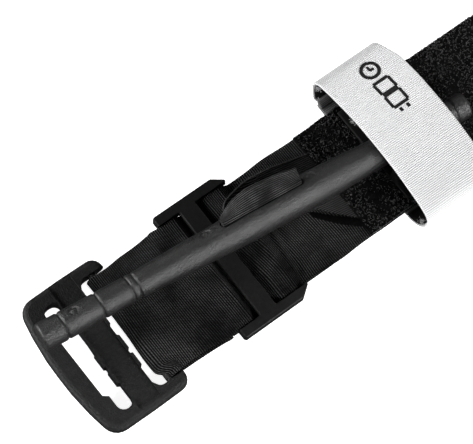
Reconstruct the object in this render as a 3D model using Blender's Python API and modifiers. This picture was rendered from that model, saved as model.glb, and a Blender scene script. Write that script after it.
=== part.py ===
"""A windlass tourniquet lying flat, with its spare band folded in line behind it.

Lengths are in millimetres until they reach Blender, where MM turns them into metres.
+X runs along the band from the buckle to the spare length, +Y across it and +Z up.
The origin is on the table, on the band's centre line, under the middle of the rod's slot.
"""

import math

import bmesh
import bpy
from mathutils import Matrix, Vector

MM = 0.001
TOUCH = 0.3  # kept between pieces that touch

# The band: a woven backing, the ribbon that slides inside, and a hook-and-loop face.
BAND_HALF = 19.05
BACKING = (0.0, 1.0)
RIBBON = (1.3, 1.9)
PILE = (2.2, 3.6)
BAND_THICK = PILE[1]
RIBBON_HALF = 12.5
WEBBING_THICK = 1.1
MOUTH_X = 23.5
BACKING_START_X = -27.7
LIFT_OVER_STRAP = 1.2

# The moulded buckle, which turns on the loop of webbing round its inner bar.
BUCKLE_TOP = 4.3
BUCKLE_HALF = 23.8
BUCKLE_EDGE = 1.7
INNER_BAR = (-50.7, 2.7)  # x, z of its centre
INNER_BAR_RADIUS = 1.3
RAIL_INSIDE = 19.5

# The plate that the webbing is threaded through.
PLATE_Z = (1.3, 4.6)
PLATE_X = (-26.3, -5.0)
PLATE_HALF = 22.7
PLATE_BAR_X = (-18.7, -12.9)
PLATE_WINDOWS = ((-22.0, -18.7), (-12.9, -9.0))
PLATE_STRIP_TOP = 2.8
PLATE_BAR_UNDER = 2.7

# The windlass rod, skewed across the band.
ROD_SKEW = math.radians(-5.95)
ROD_AXIS_Y = 2.585
ROD_AXIS_Z = 11.0
ROD_ENDS = (-75.4, 70.0)
ROD_SLOT_CENTRE = -0.6
ROD_SLOT_LENGTH = 28.4
ROD_SLOT_WIDTH = 3.0
ROD_SLOT_ROLL = math.radians(28)
RIBBON_LEAN = math.radians(62)  # of the half moon above the slot
RIBBON_BEND = 6.1  # how far from the rod's axis it starts to lean
ROD_SIDES = 20
ROD_END_ROUND = 0.9

# The clip that holds the rod's far end, and the strap that closes over both.
CLIP_X = (38.5, 60.5)
CLIP_BASE_Z = (5.1, 6.35)
CLIP_WALL_Y = -8.3
STRAP_X = (36.9, 62.0)
STRAP_THICK = 1.2
STRAP_BASE_THICK = 0.9
STRAP_HINGE = (-26.2, 6.2)  # y, z

# The spare band, folded back and forth past its bend.
TAIL_BEND_X = 94.0
TAIL_BEND_GAP = 0.6
FOLD_X = (106.0, 290.0)
FOLD_RUNS = 4
TIP_LENGTH = 9.0


def clear_scene():
    for obj in list(bpy.data.objects):
        bpy.data.objects.remove(obj, do_unlink=True)


def new_collection(name):
    collection = bpy.data.collections.new(name)
    bpy.context.scene.collection.children.link(collection)
    return collection


def new_material(name, colour, roughness, metallic=0.0):
    material = bpy.data.materials.new(name)
    material.use_nodes = True
    shader = material.node_tree.nodes["Principled BSDF"]
    shader.inputs["Base Color"].default_value = (*colour, 1.0)
    shader.inputs["Roughness"].default_value = roughness
    shader.inputs["Metallic"].default_value = metallic
    return material


clear_scene()
PARTS = new_collection("tourniquet")
CUTTERS = new_collection("cutters")


def blend_step(amount):
    """Eases from 0 to 1."""
    amount = min(max(amount, 0.0), 1.0)
    return amount * amount * (3.0 - 2.0 * amount)


def eased_run(stations, step=1.2):
    """A run through (along, height) stations, level at each and eased between them."""
    points = [stations[0]]
    for (along, height), (next_along, next_height) in zip(stations, stations[1:]):
        length = abs(next_along - along)
        count = 1 if height == next_height else max(4, round(length / step))
        for index in range(1, count + 1):
            share = index / count
            rise = (next_height - height) * blend_step(share)
            points.append((along + (next_along - along) * share, height + rise))
    return points


def arc(centre, radius, start, end, steps):
    """Points on an arc, from one angle to the other in degrees."""
    angles = [math.radians(start + (end - start) * index / steps) for index in range(steps + 1)]
    return [(centre[0] + radius * math.cos(a), centre[1] + radius * math.sin(a)) for a in angles]


def rounded(corners, steps=4):
    """A closed outline from (x, y, radius) corners, each turned on an arc."""
    outline = []
    for index, (x, y, radius) in enumerate(corners):
        here = Vector((x, y))
        before = (Vector(corners[index - 1][:2]) - here).normalized()
        after = (Vector(corners[(index + 1) % len(corners)][:2]) - here).normalized()
        if radius == 0:
            outline.append((x, y))
            continue
        half = before.angle(after) / 2
        middle = here + (before + after).normalized() * (radius / math.sin(half))
        first = here + before * (radius / math.tan(half)) - middle
        last = here + after * (radius / math.tan(half)) - middle
        turn = first.angle_signed(last)
        for step in range(steps + 1):
            spoke = Matrix.Rotation(-turn * step / steps, 2) @ first
            outline.append(tuple(middle + spoke))
    return outline


def smooth_route(points, steps=5):
    """A smooth curve through the points, closer together than they are."""
    ends = [points[0], *points, points[-1]]
    route = []
    for a, b, c, d in zip(ends, ends[1:], ends[2:], ends[3:]):
        for step in range(steps):
            t = step / steps
            weights = (
                -0.5 * t + t * t - 0.5 * t**3,
                1.0 - 2.5 * t * t + 1.5 * t**3,
                0.5 * t + 2.0 * t * t - 1.5 * t**3,
                -0.5 * t * t + 0.5 * t**3,
            )
            route.append(tuple(sum(w * p[k] for w, p in zip(weights, (a, b, c, d))) for k in (0, 1)))
    return [*route, points[-1]]


def layer(route, low, high):
    """The outline of a strip between two distances to the left of a route."""
    below = []
    above = []
    for index, point in enumerate(route):
        before = route[max(index - 1, 0)]
        after = route[min(index + 1, len(route) - 1)]
        along = Vector((after[0] - before[0], after[1] - before[1])).normalized()
        left = Vector((-along.y, along.x))
        below.append(tuple(Vector(point) + left * low))
        above.append(tuple(Vector(point) + left * high))
    return below + above[::-1]


def link(obj, material, collection=None):
    (collection or PARTS).objects.link(obj)
    if material:
        obj.data.materials.append(material)
    return obj


def extruded(name, outlines, span, material, plane="XY", edge=0.0, collection=None, edge_steps=1):
    """A flat shape, holes included, extruded over a span along the plane's normal."""
    curve = bpy.data.curves.new(name, "CURVE")
    curve.dimensions = "2D"
    curve.fill_mode = "BOTH"
    curve.extrude = (abs(span[1] - span[0]) / 2 - edge) * MM
    curve.bevel_depth = edge * MM
    curve.bevel_resolution = edge_steps
    curve.offset = -edge * MM
    for outline in outlines:
        spline = curve.splines.new("POLY")
        spline.points.add(len(outline) - 1)
        spline.use_cyclic_u = True
        for point, (x, y) in zip(spline.points, outline):
            point.co = (x * MM, y * MM, 0.0, 1.0)
    shape = bpy.data.objects.new(name + "_outline", curve)
    bpy.context.scene.collection.objects.link(shape)
    middle = (span[0] + span[1]) / 2 * MM
    turns = {"XY": (0, 0, 0), "XZ": (90, 0, 0), "YZ": (90, 0, 90)}
    places = {"XY": (0, 0, middle), "XZ": (0, middle, 0), "YZ": (middle, 0, 0)}
    shape.rotation_euler = [math.radians(angle) for angle in turns[plane]]
    shape.location = places[plane]
    bpy.context.view_layer.update()
    evaluated = shape.evaluated_get(bpy.context.evaluated_depsgraph_get())
    mesh = bpy.data.meshes.new_from_object(evaluated)
    mesh.transform(shape.matrix_world)
    mesh.materials.clear()
    bpy.data.objects.remove(shape)
    weld_and_face_out(mesh)
    return link(bpy.data.objects.new(name, mesh), material, collection)


def weld_and_face_out(mesh):
    shape = bmesh.new()
    shape.from_mesh(mesh)
    bmesh.ops.remove_doubles(shape, verts=shape.verts, dist=1e-6)
    bmesh.ops.recalc_face_normals(shape, faces=shape.faces)
    shape.to_mesh(mesh)
    shape.free()
    mesh.shade_smooth()
    mesh.set_sharp_from_angle(angle=math.radians(35))


def strip(name, route, thickness, half_width, material, plane="XZ", span=None):
    """A strip of cloth along a route in the side plane, extruded across."""
    return extruded(name, [layer(route, *thickness)], span or (-half_width, half_width), material, plane)


def block(name, low, high, collection=None):
    """A box between two corners, used to cut or to join."""
    shape = bmesh.new()
    bmesh.ops.create_cube(shape, size=1.0)
    size = [(b - a) * MM for a, b in zip(low, high)]
    centre = [(a + b) / 2 * MM for a, b in zip(low, high)]
    bmesh.ops.scale(shape, vec=size, verts=shape.verts)
    bmesh.ops.translate(shape, vec=centre, verts=shape.verts)
    mesh = bpy.data.meshes.new(name)
    shape.to_mesh(mesh)
    shape.free()
    return link(bpy.data.objects.new(name, mesh), None, collection or CUTTERS)


def boolean(target, other, operation="DIFFERENCE"):
    """Cuts the other object from the target, or joins it on, and keeps it only as a guide."""
    other.hide_render = True
    other.display_type = "WIRE"
    modifier = target.modifiers.new(other.name, "BOOLEAN")
    modifier.object = other
    modifier.operation = operation
    modifier.solver = "EXACT"


def move_origin(obj, point):
    """Puts an object's origin on its joint axis and leaves its shape where it is."""
    target = Vector([value * MM for value in point])
    obj.data.transform(Matrix.Translation(-target))
    obj.matrix_world = Matrix.Translation(target) @ obj.matrix_world


# Routes of the band, on its underside, as (x, z).


def lower_route():
    """Under the plate, up over the strap's lower run and down again to the bend."""
    rise = STRAP_X[0] - 2.0
    fall = STRAP_X[1] + 2.0
    return [
        (rise - 6.0, 0.0),
        (rise, LIFT_OVER_STRAP),
        (fall, LIFT_OVER_STRAP),
        (fall + 6.0, 0.0),
        (TAIL_BEND_X - TAIL_BEND_GAP / 2, 0.0),
    ]


def fold_route():
    """From the bend, back and forth in a stack, each fold turning on a half circle."""
    pitch_face = 2 * BAND_THICK + TOUCH
    height = 0.0
    points = [(TAIL_BEND_X + TAIL_BEND_GAP / 2, 0.0)]
    for run in range(FOLD_RUNS - 1):
        face_inside = run % 2 == 0
        climb = pitch_face if face_inside else TOUCH
        turn_x = FOLD_X[1] if face_inside else FOLD_X[0]
        centre = (turn_x, height + climb / 2)
        if face_inside:
            points += arc(centre, climb / 2, -90, 90, 8)
        else:
            points += arc(centre, climb / 2, -90, -270, 8)
        height += climb
    points.append((FOLD_X[0] + TIP_LENGTH, height))
    return points


def webbing_route():
    """Out of the band's mouth, through the plate, round the buckle's bar and back below."""
    half = WEBBING_THICK / 2
    lying = BACKING[1] + TOUCH + half
    over_strip = PLATE_STRIP_TOP + TOUCH + half
    wrap_radius = INNER_BAR_RADIUS + TOUCH + half
    wrap = arc(INNER_BAR, wrap_radius, 90, 270, 14)
    stations = [
        (MOUTH_X - TOUCH, lying),
        (PLATE_X[1] + 3.4, lying),
        (PLATE_X[1] - 0.4, over_strip),
        (PLATE_WINDOWS[1][1] - 0.4, over_strip),
        (PLATE_BAR_X[1] + 0.6, lying),
        (PLATE_BAR_X[0] - 0.6, lying),
        (PLATE_WINDOWS[0][0] + 0.4, over_strip),
        (PLATE_X[0] + 0.4, over_strip),
        (INNER_BAR[0] + 5.0, wrap[0][1]),
    ]
    return eased_run(stations, 0.8) + wrap + [(BACKING_START_X - TOUCH, wrap[-1][1])]


# The pieces.


def make_buckle(plastic):
    """Two flat bars and a round one in a bowed frame. Webbing wraps the round bar."""
    corner = BUCKLE_HALF - 0.2
    bowed = [(-75.3, -14.0), (-76.1, -6.0), (-76.2, 0.0), (-76.1, 6.0), (-75.3, 14.0)]
    outline = [(-46.2, -corner, 3.6), (-60.0, -BUCKLE_HALF, 0), (-73.6, -corner, 5.0)]
    outline += [(x, y, 0) for x, y in bowed]
    outline += [(-73.6, corner, 5.0), (-60.0, BUCKLE_HALF, 0), (-46.2, corner, 3.6)]
    span = (0.0, BUCKLE_TOP)
    buckle = extruded("buckle_frame", [rounded(outline, 5)], span, plastic, edge=BUCKLE_EDGE, edge_steps=2)
    through = (-1.0, BUCKLE_TOP + 1.0)
    window = [(-40.0, -RAIL_INSIDE, 0), (-40.0, RAIL_INSIDE, 0), (-54.4, RAIL_INSIDE, 2.0)]
    window += [(-55.7, 17.0, 0), (-55.7, 12.4, 0), (-55.0, 12.0, 0), (-55.0, 4.0, 0), (-55.6, 3.7, 0)]
    window += [(-55.6, 0.2, 0), (-55.0, -0.2, 0), (-55.0, -4.9, 0), (-55.7, -5.2, 0), (-55.7, -6.4, 0)]
    window += [(-55.0, -6.7, 0), (-55.0, -11.0, 0), (-55.8, -11.4, 0), (-55.8, -17.0, 0)]
    window += [(-54.4, -RAIL_INSIDE, 2.0)]
    slot = [(-63.2, -19.2, 2.4), (-68.1, -19.2, 2.4), (-68.1, -13.2, 0), (-69.6, -12.0, 0)]
    slot += [(-69.9, 6.0, 0), (-69.9, 13.6, 0), (-68.8, 14.6, 0), (-68.8, 18.8, 2.2)]
    slot += [(-63.6, 18.8, 2.2), (-63.6, 3.2, 0), (-63.8, -0.2, 0), (-64.2, -0.6, 0)]
    slot += [(-64.2, -5.3, 0), (-63.6, -5.6, 0), (-63.6, -6.7, 0), (-64.0, -7.0, 0)]
    slot += [(-64.0, -11.4, 0), (-63.2, -11.9, 0)]
    for name, shape in (("buckle_window", window), ("buckle_slot", slot)):
        boolean(buckle, extruded(name, [rounded(shape)], through, None, "XY", 0.0, CUTTERS))
    floor = BUCKLE_TOP - 0.6
    ramp = [(-21.6, BUCKLE_TOP + 0.1), (-20.1, floor), (25.0, floor), (25.0, 8.0), (-21.6, 8.0)]
    boolean(buckle, extruded("buckle_bar_relief", [ramp], (-63.3, -55.9), None, "YZ", 0.0, CUTTERS))
    reach = RAIL_INSIDE + 1.2
    circle = arc(INNER_BAR, INNER_BAR_RADIUS, 0, 345, 23)
    boolean(buckle, extruded("buckle_bar", [circle], (-reach, reach), None, "XZ", 0.0, CUTTERS), "UNION")
    move_origin(buckle, (INNER_BAR[0], 0.0, INNER_BAR[1]))
    return buckle


def make_plate(plastic):
    """A three-bar slide with a wing on each side: end strips low, cross bar and wings high."""
    inside = BAND_HALF + 0.35
    wing_x = PLATE_X[1] + 3.5
    outline = [
        (PLATE_X[0], -PLATE_HALF, 0.8),
        (PLATE_X[1], -PLATE_HALF, 0.8),
        (wing_x, -inside - 0.7, 0.2),
        (wing_x, -inside, 0.0),
        (PLATE_X[1], -inside, 0.0),
        (PLATE_X[1], inside, 0.0),
        (wing_x, inside, 0.0),
        (wing_x, inside + 0.7, 0.2),
        (PLATE_X[1], PLATE_HALF, 0.8),
        (PLATE_X[0], PLATE_HALF, 0.8),
    ]
    opening = PLATE_WINDOWS[0][0], PLATE_WINDOWS[1][1]
    slots = []
    for low, high in ((opening[0], PLATE_BAR_X[0]), (PLATE_BAR_X[1], opening[1])):
        corners = ((low, -inside), (high, -inside), (high, inside), (low, inside))
        slots.append(rounded([(x, y, 0.5) for x, y in corners], 2))
    plate = extruded("threading_plate", [rounded(outline), *slots], PLATE_Z, plastic, edge=0.35)
    over = 0.4
    wall = inside + 0.2
    window_middles = [(low + high) / 2 for low, high in PLATE_WINDOWS]
    reliefs = ((PLATE_X[0] - over, window_middles[0]), (window_middles[1], wing_x + over))
    for index, (low, high) in enumerate(reliefs):
        low_corner = (low, -wall, PLATE_STRIP_TOP)
        boolean(plate, block(f"plate_strip_relief_{index}", low_corner, (high, wall, PLATE_Z[1] + 1.0)))
    low_corner = (PLATE_BAR_X[0] - over, -wall, PLATE_Z[0] - 1.0)
    boolean(plate, block("plate_bar_relief", low_corner, (PLATE_BAR_X[1] + over, wall, PLATE_BAR_UNDER)))
    return plate


def rod_radius(along):
    """The rod's radius at a place along its axis: slim grips, a swell at the slot, ring grooves."""
    swell = [(-75.4, 4.3), (-45.0, 4.05), (-22.0, 4.7), (-6.0, 5.25), (16.0, 5.3), (38.0, 4.5), (70.0, 4.1)]
    radius = swell[0][1]
    for (start, low), (end, high) in zip(swell, swell[1:]):
        if start <= along <= end:
            radius = low + (high - low) * blend_step((along - start) / (end - start))
    for groove in (-68.2, -56.2, -46.3, -44.2, 65.0):
        radius -= 0.32 * math.exp(-(((along - groove) / 0.45) ** 2))
    for end in ROD_ENDS:
        nearness = max(0.0, 1.0 - abs(along - end) / ROD_END_ROUND)
        radius -= ROD_END_ROUND * (1.0 - math.sqrt(max(0.0, 1.0 - nearness * nearness)))
    return radius


def rod_stations():
    """Where the turned profile has points: close at the ends and grooves, sparse between."""
    stations = set()
    for end, side in ((ROD_ENDS[0], 1), (ROD_ENDS[1], -1)):
        stations.update(end + side * share * ROD_END_ROUND for share in (0.0, 0.1, 0.35, 0.65, 1.0))
    for groove in (-68.2, -56.2, -46.3, -44.2, 65.0):
        stations.update(groove + offset for offset in (-0.9, -0.45, 0.0, 0.45, 0.9))
    stations.update(range(-40, 64, 6))
    return sorted(stations)


def make_rod(plastic, axis):
    profile = bmesh.new()
    first = profile.verts.new((0.0, 0.0, ROD_ENDS[1] * MM))
    last = first
    for along in reversed(rod_stations()):
        point = profile.verts.new((rod_radius(along) * MM, 0.0, along * MM))
        profile.edges.new((last, point))
        last = point
    profile.edges.new((last, profile.verts.new((0.0, 0.0, ROD_ENDS[0] * MM))))
    mesh = bpy.data.meshes.new("windlass_rod")
    profile.to_mesh(mesh)
    profile.free()
    rod = link(bpy.data.objects.new("windlass_rod", mesh), plastic)
    turn = rod.modifiers.new("turn", "SCREW")
    turn.steps = ROD_SIDES
    turn.render_steps = ROD_SIDES
    turn.axis = "Z"
    turn.use_merge_vertices = True
    turn.merge_threshold = 1e-6
    turn.use_smooth_shade = True
    lay_along_rod(rod, axis)
    half = ROD_SLOT_WIDTH / 2
    low = ROD_SLOT_CENTRE - ROD_SLOT_LENGTH / 2
    high = ROD_SLOT_CENTRE + ROD_SLOT_LENGTH / 2
    corners = [(low, -half, half * 0.98), (high, -half, half * 0.98)]
    corners += [(high, half, half * 0.98), (low, half, half * 0.98)]
    cutter = extruded("rod_slot", [rounded(corners)], (-9.0, 9.0), None, "XY", 0.0, CUTTERS)
    lay_in_slot(cutter, axis)
    boolean(rod, cutter)
    return rod


def lay_along_rod(obj, axis):
    """Turns local +Z along the rod, about the windlass's own turning point."""
    obj.parent = axis
    obj.rotation_euler = (0.0, math.radians(90), ROD_SKEW)


def lay_in_slot(obj, axis):
    """Turns local +X along the rod and local +Z out of the upper side of its slot."""
    obj.parent = axis
    roll = Matrix.Rotation(-ROD_SLOT_ROLL, 4, "X")
    obj.matrix_basis = Matrix.Rotation(ROD_SKEW, 4, "Z") @ roll


def make_ribbon_loop(cloth, axis):
    """The doubled ribbon in the slot: a leg below, the slot, and a half moon that leans above."""
    left = ROD_SLOT_CENTRE - ROD_SLOT_LENGTH / 2 + 0.6
    right = ROD_SLOT_CENTRE + ROD_SLOT_LENGTH / 2 - 0.9
    leg = [(left, -6.2), (right, -6.2), (right, RIBBON_BEND + 0.6), (left, RIBBON_BEND + 0.6)]
    loop = extruded("ribbon_loop", [leg], (-1.1, 1.1), cloth, "XZ")
    lay_in_slot(loop, axis)
    crest = [(0.0, 0.4), (1.5, 1.5), (5.1, 3.5), (9.0, 4.4), (13.0, 4.7), (19.6, 4.2), (26.0, 3.2)]
    moon = [(left + along, height) for along, height in crest]
    moon = [(left, -0.5), (right, -0.5), *reversed(moon)]
    half_moon = extruded("ribbon_half_moon", [moon], (-1.1, 1.1), None, "XZ", 0.0, CUTTERS)
    out = Vector((0.0, math.sin(ROD_SLOT_ROLL), math.cos(ROD_SLOT_ROLL))) * RIBBON_BEND * MM
    lean = Matrix.Translation(out) @ Matrix.Rotation(-RIBBON_LEAN, 4, "X")
    half_moon.parent = axis
    half_moon.matrix_basis = Matrix.Rotation(ROD_SKEW, 4, "Z") @ lean
    boolean(loop, half_moon, "UNION")
    return loop


def make_pleats(cloth):
    """The ribbon where it leaves the band's mouth and gathers under the rod."""
    outline = [(MOUTH_X - TOUCH, -9.5, 1.0), (MOUTH_X - TOUCH, 9.5, 1.0), (8.0, 6.0, 2.0), (-0.5, 4.5, 1.5)]
    outline += [(-1.0, -3.5, 1.5), (8.0, -5.0, 2.0)]
    low = BACKING[1] + TOUCH + WEBBING_THICK + TOUCH
    return extruded("ribbon_pleats", [rounded(outline)], (low, low + 1.9), cloth)


def make_clip(plastic):
    """A base on the band and a hooked wall that stops the rod. The rod leaves towards +Y."""
    base_low, base_high = CLIP_BASE_Z
    outline = [
        (-17.0, base_low, 0.3),
        (17.0, base_low, 0.3),
        (17.0, base_high, 0.8),
        (CLIP_WALL_Y, base_high, 0.8),
        (CLIP_WALL_Y, 12.6, 0.4),
        (CLIP_WALL_Y + 0.4, 13.4, 0.3),
        (CLIP_WALL_Y + 0.3, 14.2, 0.6),
        (CLIP_WALL_Y - 1.6, 14.2, 1.0),
        (CLIP_WALL_Y - 2.4, 11.0, 2.0),
        (CLIP_WALL_Y - 2.7, base_high, 0.8),
        (-17.0, base_high, 0.8),
    ]
    return extruded("windlass_clip", [rounded(outline, 3)], CLIP_X, plastic, "YZ", 0.25)


def arch_route():
    """The strap's upper run, as (y, z): from its root at -Y, over the rod, down outside at +Y."""
    root = STRAP_HINGE
    points = [root, (-26.9, 8.2), (-26.7, 10.4), (-24.6, 12.7), (-20.0, 14.4), (-10.0, 16.5), (0.0, 17.05)]
    points += [(10.0, 16.5), (20.0, 14.4), (24.8, 12.7), (26.9, 10.2), (27.0, 7.4), (26.2, 4.4), (25.2, 2.0)]
    return smooth_route(points, 3)


def make_strap(white, lining):
    """The lower run stays with the band. The upper run opens on its root at the -Y side."""
    half = STRAP_BASE_THICK / 2
    base_points = [(-25.9, STRAP_HINGE[1] - 1.05), (-25.2, 3.4), (-23.2, 1.5), (-20.0, half), (20.0, half)]
    base_points += [(22.2, 1.3), (23.5, 2.6), (23.8, 3.9)]
    base_route = smooth_route(base_points[:4], 3) + smooth_route(base_points[4:], 3)
    strip("strap_base", base_route, (-half, half), 0.0, white, "YZ", STRAP_X)
    half = STRAP_THICK / 2
    route = arch_route()
    outline = layer(route, -half, half)
    knuckle = arc(STRAP_HINGE, half, -170, -10, 6)
    arch = extruded("strap_arch", [outline + knuckle[::-1][1:-1]], STRAP_X, white, "YZ")
    move_origin(arch, (0.0, *STRAP_HINGE))
    lined = [point for point in route if point[0] > 9.0 and point[1] > 5.0]
    inner = half + TOUCH
    hook = strip("hook_lining", lined, (-inner - 0.7, -inner), 0.0, lining, "YZ",
                 (STRAP_X[0] - 0.4, STRAP_X[1] - 0.4))
    move_origin(hook, (0.0, *STRAP_HINGE))


def make_band(webbing, cloth, pile):
    """The pieces of the band that stay with the plate, buckle loop and clip."""
    half = WEBBING_THICK / 2
    strip("buckle_webbing", webbing_route(), (-half, half), BAND_HALF - 0.05, webbing)
    bend = lower_route()
    strip("band_backing", eased_run([(BACKING_START_X, 0.0), *bend]), BACKING, BAND_HALF, webbing)
    inside = eased_run([(MOUTH_X, 0.0), *bend])
    strip("tension_ribbon", inside, RIBBON, RIBBON_HALF, cloth)
    strip("band_pile_face", inside, PILE, BAND_HALF, pile)


def make_tail(webbing, cloth, pile):
    """The spare length: the same three layers, folded, and the sewn tip."""
    route = fold_route()
    pieces = [
        strip("tail_backing", route, BACKING, BAND_HALF, webbing),
        strip("tail_ribbon", route, RIBBON, RIBBON_HALF, cloth),
        strip("tail_pile_face", route, PILE, BAND_HALF, pile),
    ]
    top = route[-1][1]
    end_x = FOLD_X[0] + TIP_LENGTH - TOUCH
    outline = [(end_x, -BAND_HALF, 0), (end_x, BAND_HALF, 0)]
    outline += [(end_x - TIP_LENGTH, BAND_HALF, 4.0), (end_x - TIP_LENGTH, -BAND_HALF, 4.0)]
    span = (top - BAND_THICK + 0.2, top - 0.2)
    pieces.append(extruded("tail_tip", [rounded(outline)], span, webbing, edge=0.4))
    for piece in pieces:
        move_origin(piece, (TAIL_BEND_X, 0.0, BAND_THICK))


def make_tacks(thread):
    """Dense bar tacks: two hold the clip's base down, one closes the tip."""
    low = CLIP_BASE_Z[1] + TOUCH
    for name, side in (("clip_tack_left", 1), ("clip_tack_right", -1)):
        across = sorted((side * 13.2, side * 15.4))
        corners = [(x, y, 0.5) for x, y in
                   ((CLIP_X[0] + 3, across[0]), (CLIP_X[1] - 3, across[0]),
                    (CLIP_X[1] - 3, across[1]), (CLIP_X[0] + 3, across[1]))]
        extruded(name, [rounded(corners, 2)], (low - 0.28, low + 0.02), thread)
    tip_x = FOLD_X[0] + TIP_LENGTH - TOUCH
    height = fold_route()[-1][1] + TOUCH - 0.18
    corners = [(x, y, 0.5) for x, y in
               ((tip_x - 3.0, -16.0), (tip_x - 1.2, -16.0), (tip_x - 1.2, 16.0), (tip_x - 3.0, 16.0))]
    tack = extruded("tip_tack", [rounded(corners, 2)], (height, height + 0.4), thread)
    move_origin(tack, (TAIL_BEND_X, 0.0, BAND_THICK))


def make_axis(name, place):
    empty = bpy.data.objects.new(name, None)
    empty.location = [value * MM for value in place]
    PARTS.objects.link(empty)
    bpy.context.view_layer.update()
    return empty


def main():
    plastic = new_material("black_plastic", (0.028, 0.029, 0.030), 0.52)
    rod_plastic = new_material("rod_plastic", (0.045, 0.046, 0.048), 0.48)
    webbing = new_material("black_webbing", (0.012, 0.012, 0.013), 0.82)
    cloth = new_material("black_ribbon", (0.018, 0.018, 0.020), 0.75)
    pile = new_material("black_pile", (0.008, 0.008, 0.008), 0.95)
    lining = new_material("black_hook_lining", (0.010, 0.010, 0.011), 0.6)
    white = new_material("white_webbing", (0.72, 0.72, 0.73), 0.85)
    thread = new_material("black_thread", (0.015, 0.015, 0.016), 0.7)
    windlass_axis = make_axis("windlass_axis", (0.0, ROD_AXIS_Y, ROD_AXIS_Z))
    make_band(webbing, cloth, pile)
    make_buckle(plastic)
    make_plate(plastic)
    make_pleats(cloth)
    make_rod(rod_plastic, windlass_axis)
    make_ribbon_loop(cloth, windlass_axis)
    make_clip(plastic)
    make_strap(white, lining)
    make_tail(webbing, cloth, pile)
    make_tacks(thread)


main()
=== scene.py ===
"""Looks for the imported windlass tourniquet: cloth, pile, stitching and moulded plastic.

Lengths are in millimetres until they reach Blender, where MM turns them into metres. Routes of
cloth are lists of (along, up) points in the side plane of the band, or of (across, up) points
for the closing strap, and repeat the heights that the CAD pieces have.
"""

import math

import bmesh
import bpy
import numpy as np
from mathutils import Matrix, Vector


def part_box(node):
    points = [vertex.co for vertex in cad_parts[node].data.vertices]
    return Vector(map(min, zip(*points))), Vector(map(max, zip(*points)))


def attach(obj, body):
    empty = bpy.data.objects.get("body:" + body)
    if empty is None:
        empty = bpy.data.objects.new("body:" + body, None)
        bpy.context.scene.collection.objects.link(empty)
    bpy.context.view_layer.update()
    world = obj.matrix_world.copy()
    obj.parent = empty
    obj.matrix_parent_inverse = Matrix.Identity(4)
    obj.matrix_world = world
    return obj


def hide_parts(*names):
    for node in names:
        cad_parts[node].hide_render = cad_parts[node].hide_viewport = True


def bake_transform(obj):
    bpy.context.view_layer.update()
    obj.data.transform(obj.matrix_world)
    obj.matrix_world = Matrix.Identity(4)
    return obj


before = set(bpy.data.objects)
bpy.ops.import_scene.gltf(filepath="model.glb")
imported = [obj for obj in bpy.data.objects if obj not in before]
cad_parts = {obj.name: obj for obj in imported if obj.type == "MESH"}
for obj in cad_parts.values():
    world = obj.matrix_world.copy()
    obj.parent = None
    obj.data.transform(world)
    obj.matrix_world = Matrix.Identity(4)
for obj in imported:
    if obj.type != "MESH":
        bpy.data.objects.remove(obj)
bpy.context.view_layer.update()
MM = 0.001
RANDOM = np.random.default_rng(7)


def box_mm(node):
    """A CAD node's lowest and highest corners at rest, in millimetres."""
    low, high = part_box(node)
    return np.array(low) / MM, np.array(high) / MM


# Sizes read from the frame.
PILE_LOW, PILE_HIGH = box_mm("band_pile_face")
STRAP_LOW, STRAP_HIGH = box_mm("strap_arch")
BAND_HALF = PILE_HIGH[1]
WEB_HALF = box_mm("buckle_webbing")[1][1]
MOUTH_X = PILE_LOW[0]
BEND_X = (PILE_HIGH[0] + box_mm("tail_backing")[0][0]) / 2
STRAP_MIDDLE_X = (STRAP_LOW[0] + STRAP_HIGH[0]) / 2
STRAP_HALF = (STRAP_HIGH[0] - STRAP_LOW[0]) / 2

# The band's layers, above its underside, as in the CAD.
BACKING = (0.0, 1.0)
RIBBON = (1.3, 1.9)
RIBBON_HALF = 12.5
PILE = (2.2, 3.6)
FOLD_PITCH = 2 * PILE[1] + 0.3
FOLD_X = (106.0, 290.0)
TIP_LENGTH = 9.0
LIFT_OVER_STRAP = 1.2
BACKING_START_X = -27.7
INNER_BAR = (-50.7, 2.7)
WRAP_RADIUS = 2.15
STITCH_PITCH = 3.1
STITCH_LENGTH = 2.3
STITCH_ROW_Y = 17.2

# The rod and its slot, with its soft marks as (place along it, turn in degrees).
ROD_MIDDLE = np.array([0.0, 2.585, 11.0])
ROD_SKEW = math.radians(-5.95)
ROD_ALONG = np.array([math.cos(ROD_SKEW), math.sin(ROD_SKEW), 0.0])
ROD_LEVEL = np.array([-math.sin(ROD_SKEW), math.cos(ROD_SKEW), 0.0])
UP = np.array([0.0, 0.0, 1.0])
ROD_SLOT_ROLL = math.radians(28)
ROD_ENDS = (-75.4, 70.0)
ROD_SLOT_CENTRE = -0.6
ROD_SLOT_LENGTH = 28.4
ROD_SLOT_WIDTH = 3.0
ROD_GROOVES = (-68.2, -56.2, -46.3, -44.2, 65.0)
ROD_MARKS = ((-64.0, 6), (-19.6, -5), (15.8, -3))
ROD_SWELL = (
    (-75.4, 4.3), (-45.0, 4.05), (-22.0, 4.7), (-6.0, 5.25), (16.0, 5.3), (38.0, 4.5), (60.5, 3.8),
    (64.3, 3.8), (65.1, 4.15), (70.0, 4.15),
)
ROD_END_ROUND = 0.9
GROOVE_DEPTH, GROOVE_WIDTH = 0.42, 0.34
MARK_DEPTH, MARK_RADIUS, MARK_WIDTH = 0.36, 1.15, 0.32

# The half moon of ribbon: its lean, the height where it bends, and its crest over the bend.
RIBBON_LEAN = math.radians(62)
RIBBON_BEND = 6.1
RIBBON_CREST = ((0.0, 0.4), (1.5, 1.5), (5.1, 3.5), (9.0, 4.4), (13.0, 4.7), (19.6, 4.2), (26.0, 3.2))

# The printed mark on the strap: x of its middle, half its width, and the ring's place.
PRINT_X = 51.6
PRINT_HALF = 2.7
PRINT_RING_AT = 19.5


# Shapes.


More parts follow.
